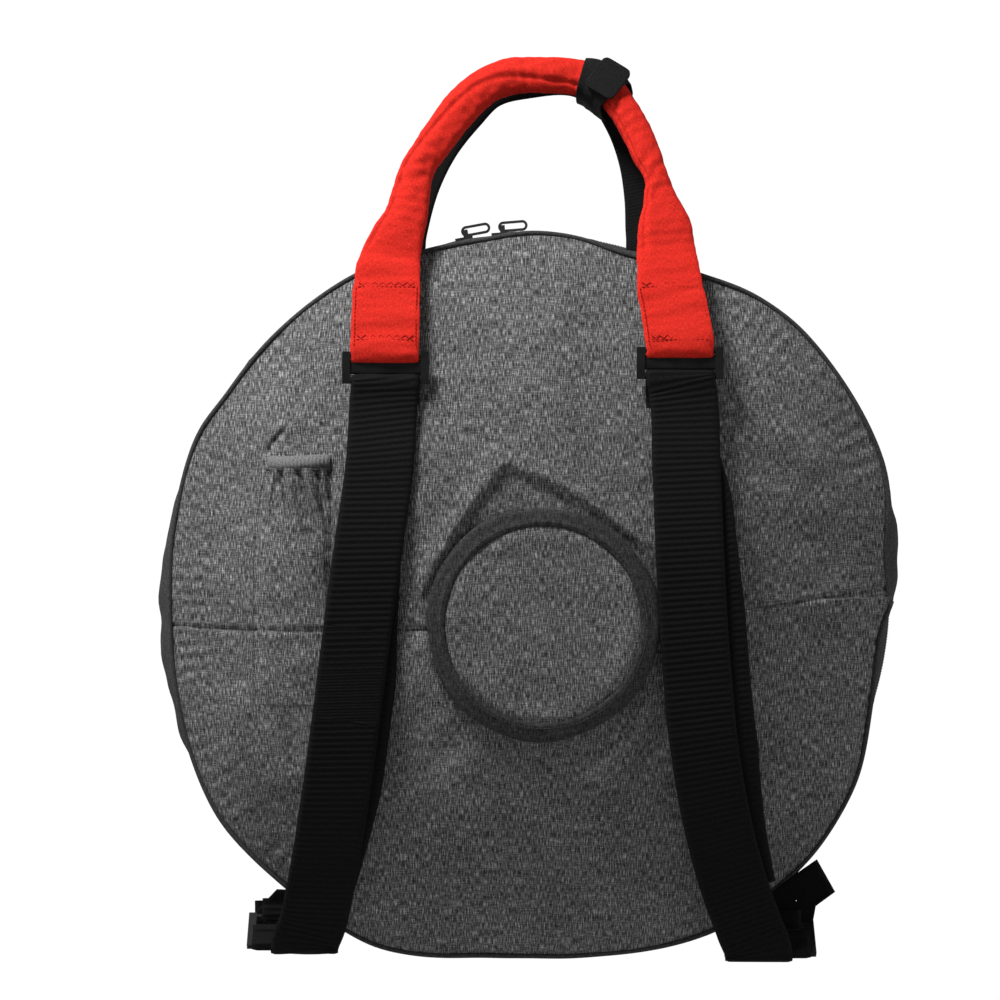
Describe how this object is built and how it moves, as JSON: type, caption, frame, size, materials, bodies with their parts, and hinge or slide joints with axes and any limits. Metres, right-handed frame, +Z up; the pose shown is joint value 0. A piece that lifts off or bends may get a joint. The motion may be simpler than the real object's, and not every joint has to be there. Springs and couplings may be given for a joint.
{
  "type": "handpan carry bag",
  "caption": "Padded round backpack bag for a handpan, with a zip-off cover, carry handle, shoulder straps, side pocket and centre pad.",
  "frame": {"origin": "in the carry grip, straight above the middle of the bag", "axes": "+Z up as the bag hangs from its handle, -Y towards the wearer's back (strap side), +X to the right seen from the strap side"},
  "size_m": [0.5726, 0.243, 0.7112],
  "materials": {
    "heather_fabric": "mottled grey woven polyester",
    "dark_fabric": "plain dark grey woven binding",
    "foam": "closed-cell padding",
    "lining_fabric": "thin brushed lining",
    "red_fabric": "red canvas with tonal stitching",
    "zip_tape": "black knitted tape",
    "zip_coil": "moulded nylon coil",
    "zip_metal": "black lacquered zinc",
    "black_plastic": "moulded acetal",
    "wrap_fabric": "black hook-and-loop webbing",
    "black_webbing": "ribbed black webbing"
  },
  "bodies": {
    "bag": {"anchor_tab_left": "black_webbing", "anchor_tab_right": "black_webbing", "centre_pad": "heather_fabric", "centre_pad_band": "dark_fabric", "front_foam": "foam", "front_gusset": "dark_fabric", "front_hinge_strip": "dark_fabric", "front_lining": "lining_fabric", "front_piping": "dark_fabric", "front_wall_foam": "foam", "front_wall_lining": "lining_fabric", "front_zip_coil": "zip_coil", "front_zip_tape": "zip_tape", "handle_core": "foam", "handle_end_left": "red_fabric", "handle_end_right": "red_fabric", "handle_sleeve": "red_fabric", "handle_wrap": "wrap_fabric", "lower_back_panel": "heather_fabric", "rear_handle_webbing": "black_webbing", "shoulder_strap_left": "black_webbing", "shoulder_strap_right": "black_webbing", "side_pocket": "heather_fabric", "side_pocket_elastic": "dark_fabric", "strap_tail_left": "black_webbing", "strap_tail_right": "black_webbing", "upper_back_panel": "heather_fabric"},
    "cover": {"rear_panel": "heather_fabric", "rear_foam": "foam", "rear_lining": "lining_fabric", "rear_piping": "dark_fabric", "rear_gusset": "dark_fabric", "rear_wall_foam": "foam", "rear_wall_lining": "lining_fabric", "rear_zip_tape": "zip_tape", "rear_zip_coil": "zip_coil", "rear_hinge_strip": "dark_fabric"},
    "slider_left": {"zip_slider_left": "zip_metal"},
    "pull_left": {"zip_pull_left": "zip_metal"},
    "loop_left": {"top_loop_left": "black_plastic", "strap_fold_left": "black_webbing"},
    "lock_left": {"ladder_lock_left": "black_plastic", "strap_roll_left": "black_webbing"},
    "slider_right": {"zip_slider_right": "zip_metal"},
    "pull_right": {"zip_pull_right": "zip_metal"},
    "loop_right": {"top_loop_right": "black_plastic", "strap_fold_right": "black_webbing"},
    "lock_right": {"ladder_lock_right": "black_plastic", "strap_roll_right": "black_webbing"},
    "flap": {"wrap_flap": "wrap_fabric"}
  },
  "joints": [
    {"name": "cover_hinge", "type": "hinge", "parent": "bag", "child": "cover", "pos_m": [0, 0.008, -0.688], "axis": [-1, 0, 0], "range_deg": [0, 150]},
    {"name": "zip_slider_left", "type": "hinge", "parent": "bag", "child": "slider_left", "pos_m": [0, 0.008, -0.404], "axis": [0, -1, 0], "range_deg": [0, 134]},
    {"name": "zip_pull_left", "type": "hinge", "parent": "slider_left", "child": "pull_left", "pos_m": [-0.05049, 0.008, -0.11781], "axis": [0, -1, 0], "range_deg": [0, 175]},
    {"name": "zip_slider_right", "type": "hinge", "parent": "bag", "child": "slider_right", "pos_m": [0, 0.008, -0.404], "axis": [0, 1, 0], "range_deg": [0, 148]},
    {"name": "zip_pull_right", "type": "hinge", "parent": "slider_right", "child": "pull_right", "pos_m": [-0.02131, 0.008, -0.11418], "axis": [0, -1, 0], "range_deg": [0, 140]},
    {"name": "top_loop_left", "type": "hinge", "parent": "bag", "child": "loop_left", "pos_m": [-0.109, -0.107, -0.2205], "axis": [-1, 0, 0], "range_deg": [-6, 25]},
    {"name": "ladder_lock_left", "type": "hinge", "parent": "bag", "child": "lock_left", "pos_m": [-0.181, -0.05, -0.65], "axis": [-1, 0, 0], "range_deg": [-10, 10]},
    {"name": "top_loop_right", "type": "hinge", "parent": "bag", "child": "loop_right", "pos_m": [0.112, -0.107, -0.217], "axis": [-1, 0, 0], "range_deg": [-6, 25]},
    {"name": "ladder_lock_right", "type": "hinge", "parent": "bag", "child": "lock_right", "pos_m": [0.183, -0.05, -0.656], "axis": [-1, 0, 0], "range_deg": [-10, 10]},
    {"name": "wrap_flap", "type": "hinge", "parent": "bag", "child": "flap", "pos_m": [0.05097, -0.0334, -0.01201], "axis": [0.7433, -0.2444, -0.6227], "range_deg": [0, 150]}
  ]
}
